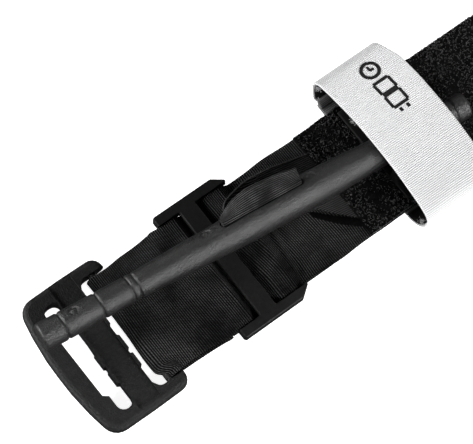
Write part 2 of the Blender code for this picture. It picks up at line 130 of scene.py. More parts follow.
def make_mesh(name, points, faces, material, uv=None, sharp=40):
    """A closed mesh object from millimetre points, with one UV in millimetres for each point."""
    mesh = bpy.data.meshes.new(name)
    mesh.from_pydata((np.asarray(points) * MM).tolist(), [], faces)
    shape = bmesh.new()
    shape.from_mesh(mesh)
    bmesh.ops.recalc_face_normals(shape, faces=shape.faces)
    shape.to_mesh(mesh)
    shape.free()
    mesh.shade_smooth()
    mesh.set_sharp_from_angle(angle=math.radians(sharp))
    if uv is not None:
        layer = mesh.uv_layers.new(name="lengths")
        corners = np.empty(len(mesh.loops), np.int32)
        mesh.loops.foreach_get("vertex_index", corners)
        layer.data.foreach_set("uv", np.asarray(uv, np.float32)[corners].ravel())
    obj = bpy.data.objects.new(name, mesh)
    bpy.context.scene.collection.objects.link(obj)
    mesh.materials.append(material)
    return obj


def ease(amount):
    amount = np.clip(amount, 0.0, 1.0)
    return amount * amount * (3.0 - 2.0 * amount)


def eased_run(stations, step):
    """Closely spaced points through (along, height) stations, eased between heights."""
    points = []
    for (along, height), (next_along, next_height) in zip(stations, stations[1:]):
        count = max(2, round(abs(next_along - along) / step))
        for index in range(count):
            share = index / count
            rise = (next_height - height) * float(ease(share))
            points.append((along + (next_along - along) * share, height + rise))
    return [*points, stations[-1]]


def arc(centre, radius, start, end, steps):
    angles = np.radians(np.linspace(start, end, steps + 1))
    return [(centre[0] + radius * math.cos(a), centre[1] + radius * math.sin(a)) for a in angles]


def smooth_route(points, steps):
    """A smooth curve through the points, with this many steps between neighbours."""
    ends = [points[0], *points, points[-1]]
    route = []
    for a, b, c, d in zip(ends, ends[1:], ends[2:], ends[3:]):
        for step in range(steps):
            t = step / steps
            weights = (
                -0.5 * t + t * t - 0.5 * t**3,
                1.0 - 2.5 * t * t + 1.5 * t**3,
                0.5 * t + 2.0 * t * t - 1.5 * t**3,
                -0.5 * t * t + 0.5 * t**3,
            )
            route.append(tuple(sum(w * p[k] for w, p in zip(weights, (a, b, c, d))) for k in (0, 1)))
    return [*route, points[-1]]


def even_route(route, step):
    """The same route with evenly spaced points, and each point's distance from the start."""
    route = np.asarray(route, float)
    lengths = np.concatenate([[0], np.cumsum(np.linalg.norm(np.diff(route, axis=0), axis=1))])
    count = max(2, round(lengths[-1] / step))
    places = np.linspace(0, lengths[-1], count + 1)
    return np.column_stack([np.interp(places, lengths, route[:, k]) for k in (0, 1)]), places


def left_of(route):
    """Unit normals to the left of a route."""
    along = np.gradient(route, axis=0)
    along /= np.linalg.norm(along, axis=1)[:, None]
    return np.column_stack([-along[:, 1], along[:, 0]])


def beside(route, lengths, normal, places, offset):
    """The two coordinates of points at these distances along a route, moved off to its left."""
    return [
        np.interp(places, lengths, route[:, k]) + np.interp(places, lengths, normal[:, k]) * offset
        for k in (0, 1)
    ]


def smooth_noise(u, v, scale, seed):
    """A soft wandering value between about -1 and 1, from a few sine waves."""
    waves = np.random.default_rng(seed)
    total = np.zeros(np.broadcast(u, v).shape)
    for _ in range(7):
        turn, phase = waves.uniform(0, 2 * math.pi, 2)
        size = waves.uniform(0.6, 1.7)
        total = total + np.sin((u * math.cos(turn) + v * math.sin(turn)) * size / scale + phase)
    return total / 3.0


def sheet_faces(rows, columns):
    """Faces of a closed sheet: an upper grid, a lower grid and the four walls between them."""
    index = np.arange(rows * columns).reshape(rows, columns)
    under = index + rows * columns
    groups = [
        (index[:-1, :-1], index[1:, :-1], index[1:, 1:], index[:-1, 1:]),
        (under[:-1, :-1], under[:-1, 1:], under[1:, 1:], under[1:, :-1]),
        (index[:-1, 0], under[:-1, 0], under[1:, 0], index[1:, 0]),
        (index[:-1, -1], index[1:, -1], under[1:, -1], under[:-1, -1]),
        (index[0, :-1], index[0, 1:], under[0, 1:], under[0, :-1]),
        (index[-1, :-1], under[-1, :-1], under[-1, 1:], index[-1, 1:]),
    ]
    return np.concatenate([np.stack([c.ravel() for c in g], axis=1) for g in groups]).tolist()


def thick_sheet(name, middle, uv, low, high, material, relief=0.0, rounding=0.5, ends=True):
    """A closed sheet of cloth about a grid of points: its faces lie low and high off the grid.

    relief stands proud of the high face, and the faces close in towards each other over the
    last of the width, so that the edges are rounded. uv is each grid point's place in the cloth.
    """
    along = np.gradient(middle, axis=0)
    across = np.gradient(middle, axis=1)
    normal = np.cross(along, across)
    normal /= np.maximum(np.linalg.norm(normal, axis=2), 1e-9)[:, :, None]
    v = uv[:, :, 1]
    edge = np.minimum(np.abs(v - v[:, :1]), np.abs(v[:, -1:] - v))
    if ends:
        u = uv[:, :, 0]
        edge = np.minimum(edge, np.minimum(np.abs(u - u[:1]), np.abs(u[-1:] - u)))
    close = np.clip(1.0 - edge / rounding, 0.0, 1.0)
    shoulder = (1.0 - np.sqrt(1.0 - close**2)) * (high - low) * 0.4
    top = high - shoulder + relief * (1.0 - close)
    bottom = low + shoulder
    upper = middle + normal * np.broadcast_to(top, close.shape)[:, :, None]
    lower = middle + normal * np.broadcast_to(bottom, close.shape)[:, :, None]
    points = np.concatenate([upper.reshape(-1, 3), lower.reshape(-1, 3)])
    flat = uv.reshape(-1, 2)
    return make_mesh(name, points, sheet_faces(*close.shape), material, np.concatenate([flat, flat]))


def swept(route, half, columns, step, plane="XZ", centre=0.0, edge=None):
    """A grid swept along a route in the XZ or YZ plane, and its lengths along and across.

    The grid's normals point to the left of the route, and its columns are closer at the edges.
    """
    route, u = even_route(route, step)
    share = np.linspace(-1, 1, columns)
    share = np.sign(share) * (1 - (1 - np.abs(share)) ** 1.3)
    width = half + (edge(u) if edge else np.zeros_like(u))
    v = share[None, :] * width[:, None]
    along = np.repeat(route[:, :1], columns, axis=1)
    up = np.repeat(route[:, 1:], columns, axis=1)
    cloth = np.stack([np.repeat(u[:, None], columns, axis=1), v], axis=-1)
    if plane == "XZ":
        return np.stack([along, centre + v, up], axis=-1), cloth
    return np.stack([centre + v, along, up], axis=-1)[:, ::-1], cloth[:, ::-1]


def tubes(name, paths, radii, material, sides=3):
    """Many closed thread-like tubes in one mesh: paths is (count, points, 3) in millimetres."""
    paths = np.asarray(paths, float)
    count, length, _ = paths.shape
    radii = np.broadcast_to(radii, (count, length))
    along = np.gradient(paths, axis=1)
    along /= np.maximum(np.linalg.norm(along, axis=2), 1e-9)[:, :, None]
    guide = np.where(np.abs(along[:, :1, 2:]) > 0.9, [[[1.0, 0.0, 0.0]]], [[[0.0, 0.0, 1.0]]])
    chord = paths[:, -1:] - paths[:, :1]
    plane = np.cross(chord, guide)
    small = np.linalg.norm(plane, axis=2, keepdims=True) < 1e-6
    plane = np.where(small, [[[0.0, 1.0, 0.0]]], plane)
    side = plane - along * np.sum(plane * along, axis=2, keepdims=True)
    side /= np.maximum(np.linalg.norm(side, axis=2), 1e-9)[:, :, None]
    other = np.cross(along, side)
    angles = np.arange(sides) * 2 * math.pi / sides
    ring = side[:, :, None] * np.cos(angles)[None, None, :, None]
    ring = ring + other[:, :, None] * np.sin(angles)[None, None, :, None]
    points = paths[:, :, None] + ring * radii[:, :, None, None]
    index = np.arange(count * length * sides).reshape(count, length, sides)
    following = np.roll(index, -1, axis=2)
    walls = np.stack([index[:, :-1], following[:, :-1], following[:, 1:], index[:, 1:]], axis=-1)
    faces = walls.reshape(-1, 4).tolist()
    faces += index[:, 0, ::-1].tolist()
    faces += index[:, -1].tolist()
    return make_mesh(name, points.reshape(-1, 3), faces, material, sharp=70)


# Materials. Colours and roughness vary by procedural textures, and weaves follow each
# strip's own length and width, which its UVs hold in millimetres.


class Nodes:
    """Short ways to add and join shader nodes."""

    def __init__(self, name):
        self.material = bpy.data.materials.new(name)
        self.material.use_nodes = True
        self.tree = self.material.node_tree
        self.shader = self.tree.nodes["Principled BSDF"]

    def add(self, kind, **inputs):
        node = self.tree.nodes.new(kind)
        for key, value in inputs.items():
            self.put(node.inputs[key.replace("_", " ")], value)
        return node

    def put(self, socket, value):
        if hasattr(value, "links"):
            self.tree.links.new(value, socket)
        else:
            socket.default_value = value

    def math(self, operation, first, second=0.5, third=None):
        node = self.tree.nodes.new("ShaderNodeMath")
        node.operation = operation
        for socket, value in zip(node.inputs, (first, second, third)):
            if value is not None:
                self.put(socket, value)
        return node.outputs[0]

    def place(self):
        """Position in the piece's own frame, in metres."""
        return self.add("ShaderNodeTexCoord").outputs["Object"]

    def lengths(self):
        """(distance along, distance across) in millimetres, from the UVs."""
        node = self.add("ShaderNodeSeparateXYZ", Vector=self.add("ShaderNodeTexCoord").outputs["UV"])
        return node.outputs[0], node.outputs[1]

    def noise(self, vector, scale, detail=3.0, roughness=0.6):
        node = self.add("ShaderNodeTexNoise", Vector=vector, Scale=scale, Detail=detail, Roughness=roughness)
        return node.outputs[0]

    def ramp(self, value, low, high, dark, light):
        node = self.add("ShaderNodeMapRange", Value=value)
        node.inputs["From Min"].default_value = low
        node.inputs["From Max"].default_value = high
        node.inputs["To Min"].default_value = dark
        node.inputs["To Max"].default_value = light
        return node.outputs[0]

    def mix(self, factor, first, second):
        node = self.tree.nodes.new("ShaderNodeMix")
        node.data_type = "RGBA"
        self.put(node.inputs[0], factor)
        self.put(node.inputs[6], first)
        self.put(node.inputs[7], second)
        return node.outputs[2]

    def bump(self, height, distance, strength=1.0, normal=None):
        node = self.add("ShaderNodeBump", Height=height, Strength=strength, Distance=distance)
        if normal is not None:
            self.put(node.inputs["Normal"], normal)
        return node.outputs[0]

    def surface(self, **values):
        for key, value in values.items():
            self.put(self.shader.inputs[key.replace("_", " ")], value)
        return self.material


def grey(value, tint=(1.0, 1.0, 1.0)):
    return (value * tint[0], value * tint[1], value * tint[2], 1.0)


def moulded_plastic(name, dark, light, roughness, grain, grain_depth, gleam):
    """Black nylon from an etched mould: a pebbled grain, mottled gloss and paler spots, partly the plastic's
    own mottle and partly painted glints.
    """
    nodes = Nodes(name)
    place = nodes.place()
    fine = nodes.noise(place, grain, 2.0, 0.6)
    coarse = nodes.noise(place, grain * 0.4, 2.0, 0.5)
    broad = nodes.noise(place, 90.0, 4.0, 0.6)
    # Paler spots in the colour: partly the plastic's own mottle and partly painted glints that stand for the
    # sparkle in its highlight.
    mottle_and_glint = nodes.ramp(nodes.math("MULTIPLY", fine, coarse), 0.16, 0.36, 0.0, 1.0)
    colour = nodes.mix(nodes.math("MULTIPLY", mottle_and_glint, nodes.ramp(broad, 0.3, 0.7, 0.5, 1.0)), dark, light)
    gloss = nodes.ramp(nodes.math("ADD", fine, broad), 0.7, 1.3, roughness + 0.10, roughness - 0.10)
    first = nodes.bump(fine, grain_depth, 0.9)
    normal = nodes.bump(coarse, grain_depth * 0.5, 0.7, first)
    return nodes.surface(Base_Color=colour, Roughness=gloss, Normal=normal, Specular_IOR_Level=gleam)


def woven(name, dark, light, rib, cross, depth, roughness, threads_share, wear_and_sheen_low, gleam=0.3):
    """Ribbed weave: ribs across the strip at one pitch, lightly broken by the crossing threads. Its colour
    is painted paler on the rib tops and darker in the valleys between them, painted highlight and painted
    shade.
    """
    nodes = Nodes(name)
    u, v = nodes.lengths()
    turns = nodes.math("DIVIDE", u, rib)
    wave = nodes.math("COSINE", nodes.math("MULTIPLY", turns, 2 * math.pi))
    ribs = nodes.math("MULTIPLY_ADD", wave, 0.5, 0.5)
    odd = nodes.math("MULTIPLY", nodes.math("ROUND", turns), math.pi)
    strands = nodes.math("ADD", nodes.math("MULTIPLY", v, 2 * math.pi / cross), odd)
    threads = nodes.math("MULTIPLY_ADD", nodes.math("COSINE", strands), 0.5, 0.5)
    broken = nodes.math("MULTIPLY_ADD", threads, threads_share, 1 - threads_share)
    height = nodes.math("MULTIPLY", ribs, broken)
    # Broad random patches, partly wear and partly painted sheen, that set how pale the rib tops are painted.
    wear_and_sheen = nodes.ramp(nodes.noise(nodes.place(), 90.0, 4.0), 0.35, 0.65, wear_and_sheen_low, 1.0)
    # Painted highlight and shade: the colour is paler on the rib tops and darker in the valleys, following
    # the rib height.
    rib_light_and_shade = nodes.math("POWER", height, 2.4)
    colour = nodes.mix(nodes.math("MULTIPLY", rib_light_and_shade, wear_and_sheen), dark, light)
    gloss = nodes.ramp(height, 0.0, 1.0, roughness + 0.2, roughness)
    fuzz = nodes.bump(nodes.noise(nodes.place(), 2600.0, 2.0), 0.00006, 0.5)
    normal = nodes.bump(height, depth, 0.8, fuzz)
    return nodes.surface(Base_Color=colour, Roughness=gloss, Normal=normal, Specular_IOR_Level=gleam)


def pile_cloth(name, dark, light, roughness, gleam=0.05):
    """The ground under the loops: a matted, lumpy black."""
    nodes = Nodes(name)
    lumps = nodes.noise(nodes.place(), 1500.0, 4.0, 0.7)
    clumps = nodes.noise(nodes.place(), 500.0, 3.0, 0.6)
    both = nodes.math("MULTIPLY", lumps, clumps)
    colour = nodes.mix(nodes.ramp(both, 0.12, 0.4, 0.0, 1.0), dark, light)
    normal = nodes.bump(both, 0.0009, 1.0)
    return nodes.surface(Base_Color=colour, Roughness=roughness, Normal=normal, Specular_IOR_Level=gleam)


def thread_like(name, dark, light, roughness, gleam=0.5):
    """Loose fibres and stitches, each a little lighter or darker than the next."""
    nodes = Nodes(name)
    tone = nodes.noise(nodes.place(), 900.0, 2.0, 0.6)
    colour = nodes.mix(nodes.ramp(tone, 0.35, 0.65, 0.0, 1.0), dark, light)
    twist = nodes.noise(nodes.place(), 4200.0, 2.0, 0.6)
    gloss = nodes.ramp(twist, 0.3, 0.7, roughness, roughness + 0.2)
    normal = nodes.bump(twist, 0.00008, 0.6)
    return nodes.surface(Base_Color=colour, Roughness=gloss, Normal=normal, Specular_IOR_Level=gleam)


# The weaves' rib pitches in millimetres, which the cloth's own relief repeats.
FOLD_RIB = 0.56
RIBBON_RIB = 0.62
WEB_RIB = 0.68
WHITE_RIB = 0.60
WHITE_TINT = (1.0, 1.0, 1.01)
BUCKLE_PLASTIC = moulded_plastic("moulded_black", grey(0.0025), grey(0.009), 0.50, 2600.0, 0.00028, 0.23)
PLATE_PLASTIC = moulded_plastic(
    "smooth_moulded_black", grey(0.0015), grey(0.005), 0.46, 2900.0, 0.00007, 0.31
)
ROD_PLASTIC = moulded_plastic("rod_black", grey(0.005), grey(0.018), 0.34, 2800.0, 0.00028, 0.52)
WEBBING = woven("ribbed_webbing", grey(0.0002), grey(0.080), WEB_RIB, 0.9, 0.00050, 0.6, 0.25, 0.15, 0.06)
RIBBON_CLOTH = woven(
    "ribbed_ribbon", grey(0.0003), grey(0.075), RIBBON_RIB, 0.5, 0.00040, 0.5, 0.3, 0.2, 0.15
)
FOLD_CLOTH = woven("ribbed_fold", grey(0.0002), grey(0.20), FOLD_RIB, 0.5, 0.00050, 0.45, 0.3, 0.1, 0.15)
# Near-black cloth for the painted shadow strip in the fold at the band's mouth.
FOLD_SHADOW_CLOTH = pile_cloth("painted_fold_shadow", grey(0.0002), grey(0.0012), 1.0)
PILE_GROUND = pile_cloth("pile_ground", grey(0.0004), grey(0.005), 1.0)
PILE_FIBRE = thread_like("pile_fibre", grey(0.001), grey(0.065), 0.40, 0.35)
HOOK_BLACK = pile_cloth("hook_ground", grey(0.001), grey(0.008), 0.8, 0.15)
HOOK_FIBRE = thread_like("hook_fibre", grey(0.03), grey(0.6), 0.3)
WHITE_WEAVE = woven(
    "white_weave", grey(0.42, WHITE_TINT), grey(0.84, WHITE_TINT), WHITE_RIB, WHITE_RIB,
    0.00026, 0.8, 0.5, 0.88,
)
LOWER_WEAVE = woven("grey_weave", grey(0.09), grey(0.30), 0.56, 0.56, 0.00020, 0.8, 0.45, 0.8)
THREAD = thread_like("black_thread", grey(0.004), grey(0.02), 0.5)
INK = thread_like("printed_ink", grey(0.004), grey(0.012), 0.7, 0.12)


# The band and its webbing.


def finish_piece(obj, slot_name, *nodes):
    """Hides the CAD nodes that the piece stands for."""
    if nodes:
        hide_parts(*nodes)
    return obj


def blend_tail(obj):
    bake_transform(obj)


def webbing_route():
    """The middle of the webbing: below the bar, round it, and through the plate to the mouth."""
    wrap = arc(INNER_BAR, WRAP_RADIUS, 90, 270, 28)
    stations = [
        (MOUTH_X + 4.0, 1.85), (-1.6, 1.85), (-5.4, 3.65), (-9.4, 3.65), (-12.3, 1.85), (-19.3, 1.85),
        (-21.6, 3.65), (-25.9, 3.65), (INNER_BAR[0] + 5.0, wrap[0][1]),
    ]
    route = eased_run(stations, 0.4) + wrap + [(BACKING_START_X - 0.3, wrap[-1][1])]
    return route[::-1]


def make_webbing():
    """The buckle's loop of webbing, pulled up and aslant under the rod by the ribbon."""
    middle, cloth = swept(webbing_route(), WEB_HALF, 60, 0.12)
    x, y = middle[:, :, 0].copy(), middle[:, :, 1].copy()
    u, v = cloth[:, :, 0].copy(), cloth[:, :, 1].copy()
    on_top = ease((u - 24.0) / 3.0)
    in_plate = ease((x + 31.0) / 2.0) * ease((-1.0 - x) / 2.0)
    loose = 1.0 - in_plate
    sway = (0.3 * np.sin(u / 5.1) * np.cos(u / 11.0) - 0.12) * loose + 0.32 * in_plate
    sway = sway + 0.42 * np.exp(-(((x + 30.2) / 3.2) ** 2)) + 0.4 * ease((x - 4.0) / 10.0)
    middle[:, :, 1] += sway * v / WEB_HALF
    middle[:, :, 1] -= 0.8 * ease((-40.0 - x) / 8.0) * ease((y - 8.0) / 10.0)
    middle[:, :, 0] += 2.4 * ease((-46.0 - x) / 4.0) * ease((-14.5 - y) / 3.4)
    near_rod = ease((y + 12.0) / 11.0) * ease((x + 9.5) / 6.0) * ease((17.0 - x) / 7.0) * on_top
    middle[:, :, 2] += 1.9 * near_rod * ease((9.0 - y) / 7.0)
    lean = ease((y + 14.0) / 20.0) * ease((x + 26.0) / 22.0)
    u = u + 2.6 * lean * on_top + 0.30 * smooth_noise(u, v, 4.5, 3) + 0.6 * smooth_noise(u, v, 14.0, 4)
    folds = 0.24 * smooth_noise(u * 0.7 + v * 0.5, v, 3.4, 5) + 0.30 * smooth_noise(u, v, 7.0, 6)
    ribs = 0.07 * np.cos(2 * math.pi * u / WEB_RIB)
    crease = x + 1.2 - 0.10 * (y + 10.0)
    lip = 0.55 * np.exp(-((crease / 0.8) ** 2)) - 0.45 * np.exp(-(((crease - 2.0) / 0.8) ** 2))
    folds = folds + lip * ease((5.0 - y) / 6.0) * ease((y + 17.0) / 3.0)
    relief = ribs * np.where(on_top > 0, 1.0, 0.3) + folds * on_top * loose - 0.08
    cloth = np.stack([u, v], axis=-1)
    obj = thick_sheet("webbing", middle, cloth, -0.5, 0.5, WEBBING, relief)
    finish_piece(obj, "black_webbing", "buckle_webbing")
    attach(obj, "band")


def lower_stations():
    """(x, height) of the band's underside, which is lifted over the strap's lower run."""
    rise = STRAP_LOW[0] - 2.0
    fall = STRAP_HIGH[0] + 2.0
    return [(rise - 6.0, 0.0), (rise, LIFT_OVER_STRAP), (fall, LIFT_OVER_STRAP), (fall + 6.0, 0.0)]


def fold_route(start):
    """The spare band's underside: from the start, back and forth in a stack."""
    height = 0.0
    points = [(start, 0.0)]
    for run in range(3):
        inward = run % 2 == 0
        climb = FOLD_PITCH if inward else 0.3
        centre = (FOLD_X[1] if inward else FOLD_X[0], height + climb / 2)
        points += arc(centre, climb / 2, -90, 90 if inward else -270, 16)
        height += climb
    return [*points, (FOLD_X[0] + TIP_LENGTH, height)]


def band_route(start):
    """The band's underside from this x to the sewn tip."""
    return eased_run([(start, 0.0), *lower_stations(), (BEND_X, 0.0)], 0.6)[:-1] + fold_route(BEND_X)


def layer_strip(name, route, low, high, half, columns, step, material, relief=None, edge=None):
    """One layer of the band, kept at its distance off the band's underside."""
    middle, cloth = swept(route, half, columns, step, edge=edge)
    proud = relief(cloth[:, :, 0], cloth[:, :, 1]) if relief else 0.0
    return thick_sheet(name, middle, cloth, low, high, material, proud)


def make_band():
    """The band's backing, inner ribbon and hook-and-loop face, and the stack of spare band."""
    whole = band_route(BACKING_START_X)

    def wavy(u):
        in_plate = ease((28.0 - u) / 3.0)
        return (0.18 * np.sin(u / 6.3) * np.cos(u / 17.0) - 0.12) * (1 - in_plate) + 0.22 * in_plate

    low, high = BACKING
    backing = layer_strip("backing", whole, low + 0.05, high, BAND_HALF, 18, 0.9, WEBBING, edge=wavy)
    finish_piece(backing, "black_webbing", "band_backing", "tail_backing")
    blend_tail(backing)
    inside = band_route(MOUTH_X + 0.5)
    ribbon = layer_strip("inner_ribbon", inside, *RIBBON, RIBBON_HALF, 8, 1.4, RIBBON_CLOTH)
    finish_piece(ribbon, "black_ribbon", "tension_ribbon", "tail_ribbon")
    blend_tail(ribbon)

    def lumps(u, v):
        return 0.16 * smooth_noise(u, v, 0.55, 11) + 0.2 * smooth_noise(u, v, 2.4, 12) - 0.35

    def ragged(u):
        rough = 0.35 + 0.65 * ease((u - 10.0) / 4.0)
        return (0.16 * np.sin(u * 2.1 + 2 * np.sin(u * 0.37)) + 0.08 * np.sin(u * 5.3)) * rough - 0.12

    split = FOLD_X[0]
    near = eased_run([(MOUTH_X, 0.0), *lower_stations(), (split - 0.05, 0.0)], 0.4)
    face = layer_strip("pile_face", near, *PILE, BAND_HALF, 96, 0.36, PILE_GROUND, lumps, ragged)
    finish_piece(face, "black_pile", "band_pile_face")
    blend_tail(face)
    away = fold_route(split)
    folded = layer_strip("folded_pile", away, *PILE, BAND_HALF, 22, 0.8, PILE_GROUND, lumps, ragged)
    finish_piece(folded, "black_pile", "tail_pile_face")
    blend_tail(folded)


def band_lift(x):
    """How far the band's underside is off the table at each x."""
    stations = lower_stations()
    rise = ease((x - stations[0][0]) / 6.0)
    fall = ease((x - stations[2][0]) / 6.0)
    return LIFT_OVER_STRAP * (rise - fall)


def make_pile_loops():
    """Snagged loops that stand out of the matted ground, and some along its two edges."""
    count = 9000
    x = RANDOM.uniform(MOUTH_X + 0.4, FOLD_X[0] - 4.2, count)
    y = RANDOM.uniform(-BAND_HALF + 0.2, BAND_HALF - 0.2, count)
    edge = np.arange(count) % 8 == 0
    y = np.where(edge, np.sign(y) * (BAND_HALF - 0.25), y)
    turn = RANDOM.uniform(0, 2 * math.pi, count)
    turn = np.where(edge, RANDOM.normal(0, 0.5, count), turn)
    width = RANDOM.uniform(0.3, 0.62, count)
    height = RANDOM.uniform(0.25, 0.7, count)
    base = PILE[1] - 0.55 + band_lift(x)
    proud = RANDOM.uniform(0.2, 1.0, count) * np.where(x < 37.0, 0.45, 1.0)
    tilt = np.where(edge, np.sign(y) * proud, RANDOM.normal(0, 0.5, count))
    share = np.linspace(0, math.pi, 5)
    paths = np.empty((count, 5, 3))
    for index, angle in enumerate(share):
        side = -math.cos(angle) * width / 2
        rise = math.sin(angle) ** 0.8 * height
        lean = rise * np.where(edge, tilt, tilt * 0.6)
        paths[:, index, 0] = x + side * np.cos(turn) + np.where(edge, 0.0, lean * -np.sin(turn))
        paths[:, index, 1] = y + side * np.sin(turn) + np.where(edge, lean * 0.6, lean * np.cos(turn))
        paths[:, index, 2] = base + rise * np.where(edge, 0.4, 1.0)
    loops = tubes("pile_loops", paths, RANDOM.uniform(0.06, 0.11, count)[:, None], PILE_FIBRE)
    blend_tail(loops)


# The ribbon.


def make_ribbon_sheet():
    """The ribbon from the band's mouth: one edge dives under the rod, the other rises behind it."""
    near = np.array([
        (24.2, -12.8, 3.0), (20.5, -9.2, 3.3), (17.0, -5.6, 3.9), (13.0, -1.8, 4.6), (9.0, 0.6, 5.1),
        (3.0, -0.6, 5.2), (-4.0, 0.0, 5.2), (-9.8, 2.6, 6.2),
    ])
    far = np.array([
        (24.2, 12.4, 3.0), (19.0, 13.4, 3.6), (14.0, 14.4, 4.6), (9.0, 15.0, 5.8), (3.6, 15.2, 7.0),
        (-2.0, 14.4, 8.2), (-7.2, 12.9, 9.3), (-9.8, 10.6, 10.2),
    ])
    rows, columns = 180, 60
    place = np.linspace(0, 1, rows)
    knots = np.linspace(0, 1, len(near))

    def curve(edge):
        smooth = np.array(smooth_route([tuple(p[:2]) for p in edge], 24))
        heights = np.array([q[1] for q in smooth_route([(k, p[2]) for k, p in zip(knots, edge)], 24)])
        path = np.column_stack([smooth, heights])
        where = np.linspace(0, 1, len(path))
        return np.column_stack([np.interp(place, where, path[:, k]) for k in range(3)])

    first, second = curve(near), curve(far)
    share = np.linspace(0, 1, columns)[None, :, None]
    middle = first[:, None] * (1 - share) + second[:, None] * share
    p = place[:, None]
    s = share[:, :, 0]
    bowl = 4.0 * s * (1 - s) * ease((p - 0.35) / 0.5) * 2.6
    bowl_edge = s**6 * ease((p - 0.3) / 0.4) * 0.6
    ripple = 0.28 * np.sin(s * 17 + p * 5 + 1.2 * np.sin(p * 7)) * ease(p / 0.25) * (1 - s * 0.5)
    middle[:, :, 2] += -bowl + bowl_edge + ripple
    middle[:, :, 2] = np.maximum(middle[:, :, 2], 2.95)
    cloth = np.stack([middle[:, :, 1] + 0.12 * middle[:, :, 0], -middle[:, :, 0]], axis=-1)
    ribs = 0.05 * np.cos(2 * math.pi * cloth[:, ::-1, 0] / RIBBON_RIB)
    obj = thick_sheet("ribbon_sheet", middle[:, ::-1], cloth[:, ::-1], -0.25, 0.25, RIBBON_CLOTH, ribs, 0.3)
    finish_piece(obj, "black_ribbon", "ribbon_pleats")
    blend_ribbon(obj)
    edge = tubes("ribbon_edge", [middle[::3, -1] + (0.0, 0.0, 0.1)], 0.24, THREAD, 8)
    blend_ribbon(edge)


def blend_ribbon(obj):
    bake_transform(obj)


def make_fold_shadow():
    """A near-black strip along the ribbon's near edge: painted shadow, a dark sheet that stands for the
    shade of the fold where the ribbon comes out of the band's mouth.
    """
    points = [(25.5, -15.8), (23.7, -14.2), (21.1, -11.9), (17.9, -8.9), (15.3, -6.2), (12.6, -3.4)]
    points += [(9.5, -0.2), (7.0, 2.0)]
    line, _ = even_route(smooth_route(points, 10), 0.3)
    side = left_of(line)
    columns = 15
    share = np.linspace(-1, 1, columns)[None, :]
    swell = 0.9 + 0.3 * ease((line[:, :1] - 14.0) / 6.0)
    place = line[:, None] + side[:, None] * (share * swell)[..., None]
    height = np.interp(line[:, :1], (7.0, 13.0, 18.0, 25.0), (4.4, 3.8, 3.1, 2.7))
    height = height + 0.5 * np.cos(share * math.pi / 2)
    middle = np.dstack([place, height])
    cloth = np.dstack([share * swell, np.repeat(line[:, :1], columns, axis=1)])
    # Painted shadow: the near-black sheet stands for the shade in the fold.
    obj = thick_sheet("painted_shadow_strip", middle, cloth, -0.2, 0.2, FOLD_SHADOW_CLOTH, 0.0, 0.2)
    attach(obj, "band")


def make_half_moon():
    """The doubled ribbon: a leg through the slot, and a fold above that leans off the rod."""
    rows, columns = 150, 130
    foot = -6.0
    left = ROD_SLOT_CENTRE - ROD_SLOT_LENGTH / 2 + 0.5
    right = ROD_SLOT_CENTRE + ROD_SLOT_LENGTH / 2 - 0.8
    s = np.linspace(0, 1, columns)[None, :]
    length = np.repeat(left + (right - left) * s, rows, axis=0)
    line = np.array(smooth_route(list(RIBBON_CREST), 8))
    crest = np.interp(length[:1] - left, line[:, 0], line[:, 1]) + 0.35
    t = np.linspace(0, 1, rows)[:, None]
    rise = foot + (RIBBON_BEND + crest - foot) * t
    angle = ROD_SLOT_ROLL + (RIBBON_LEAN - ROD_SLOT_ROLL) * ease((rise - RIBBON_BEND + 1.4) / 2.2)
    step = (RIBBON_BEND + crest - foot) / (rows - 1)
    sideways = np.cumsum(np.sin(angle) * step, axis=0) + math.sin(ROD_SLOT_ROLL) * foot
    upward = np.cumsum(np.cos(angle) * step, axis=0) + math.cos(ROD_SLOT_ROLL) * foot
    outside = ease((rise - RIBBON_BEND + 1.0) / 1.2)
    swell = np.sin(math.pi * s) * np.sin(math.pi * np.clip((rise - RIBBON_BEND) / 4.4, 0, 1))
    upward = upward + 0.35 * swell * outside
    fold = ease((t - 0.93) / 0.07)
    thick = 0.95 - 0.5 * fold
    middle = ROD_MIDDLE + ROD_ALONG * length[..., None]
    middle = middle + ROD_LEVEL * sideways[..., None] + UP * upward[..., None]
    fan = crest.max() / crest
    u = np.where(rise > RIBBON_BEND, RIBBON_BEND + (rise - RIBBON_BEND) * fan, rise)
    cloth = np.stack([u, length], axis=-1)
    ribs = 0.13 * np.cos(2 * math.pi * u / FOLD_RIB) * outside / fan**2
    obj = thick_sheet("ribbon_fold", middle, cloth, -thick, thick, FOLD_CLOTH, ribs, 0.35)
    finish_piece(obj, "black_ribbon", "ribbon_loop")
    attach(obj, "windlass")


# The windlass rod.


def rod_radius(place):
    """The rod's radius along it: slim grips, a swell at the slot, ring grooves and rounded ends."""
    radius = np.zeros_like(place)
    for (start, low), (end, high) in zip(ROD_SWELL, ROD_SWELL[1:]):
        here = (place >= start) & (place <= end)
        radius = np.where(here, low + (high - low) * ease((place - start) / (end - start)), radius)
    for groove in ROD_GROOVES:
        radius = radius - GROOVE_DEPTH * np.exp(-(((place - groove) / GROOVE_WIDTH) ** 2))
    for end in ROD_ENDS:
        nearness = np.clip(1.0 - np.abs(place - end) / ROD_END_ROUND, 0.0, 1.0)
        radius = radius - ROD_END_ROUND * (1.0 - np.sqrt(1.0 - nearness**2))
    return radius


